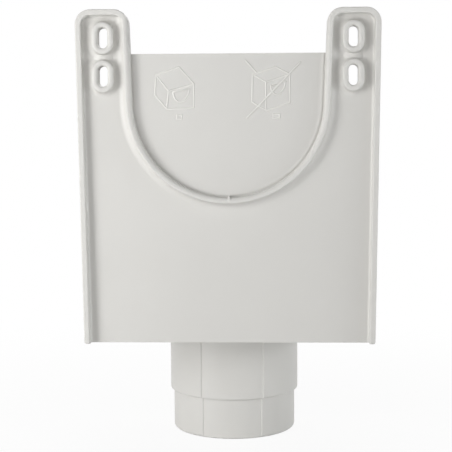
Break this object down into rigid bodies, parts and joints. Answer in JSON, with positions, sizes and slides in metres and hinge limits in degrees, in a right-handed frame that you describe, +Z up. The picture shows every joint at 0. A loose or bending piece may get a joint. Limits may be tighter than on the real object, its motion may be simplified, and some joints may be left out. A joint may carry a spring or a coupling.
{
  "type": "rainwater hopper",
  "caption": "Open-topped plastic rainwater hopper with a wall plate, slotted ears, a U-shaped knock-out for an inlet pipe and a stepped outlet spigot.",
  "frame": {"origin": "on the outlet's axis, at the shoulder that the downpipe stops against", "axes": "+Z up along the outlet, -Y towards the wall, the piece symmetrical about X = 0"},
  "size_m": [0.172, 0.1512, 0.2546],
  "materials": {
    "hopper_plastic": "smooth satin moulding, light warm grey"
  },
  "bodies": {
    "root": {"hopper_body": "hopper_plastic"}
  },
  "joints": []
}
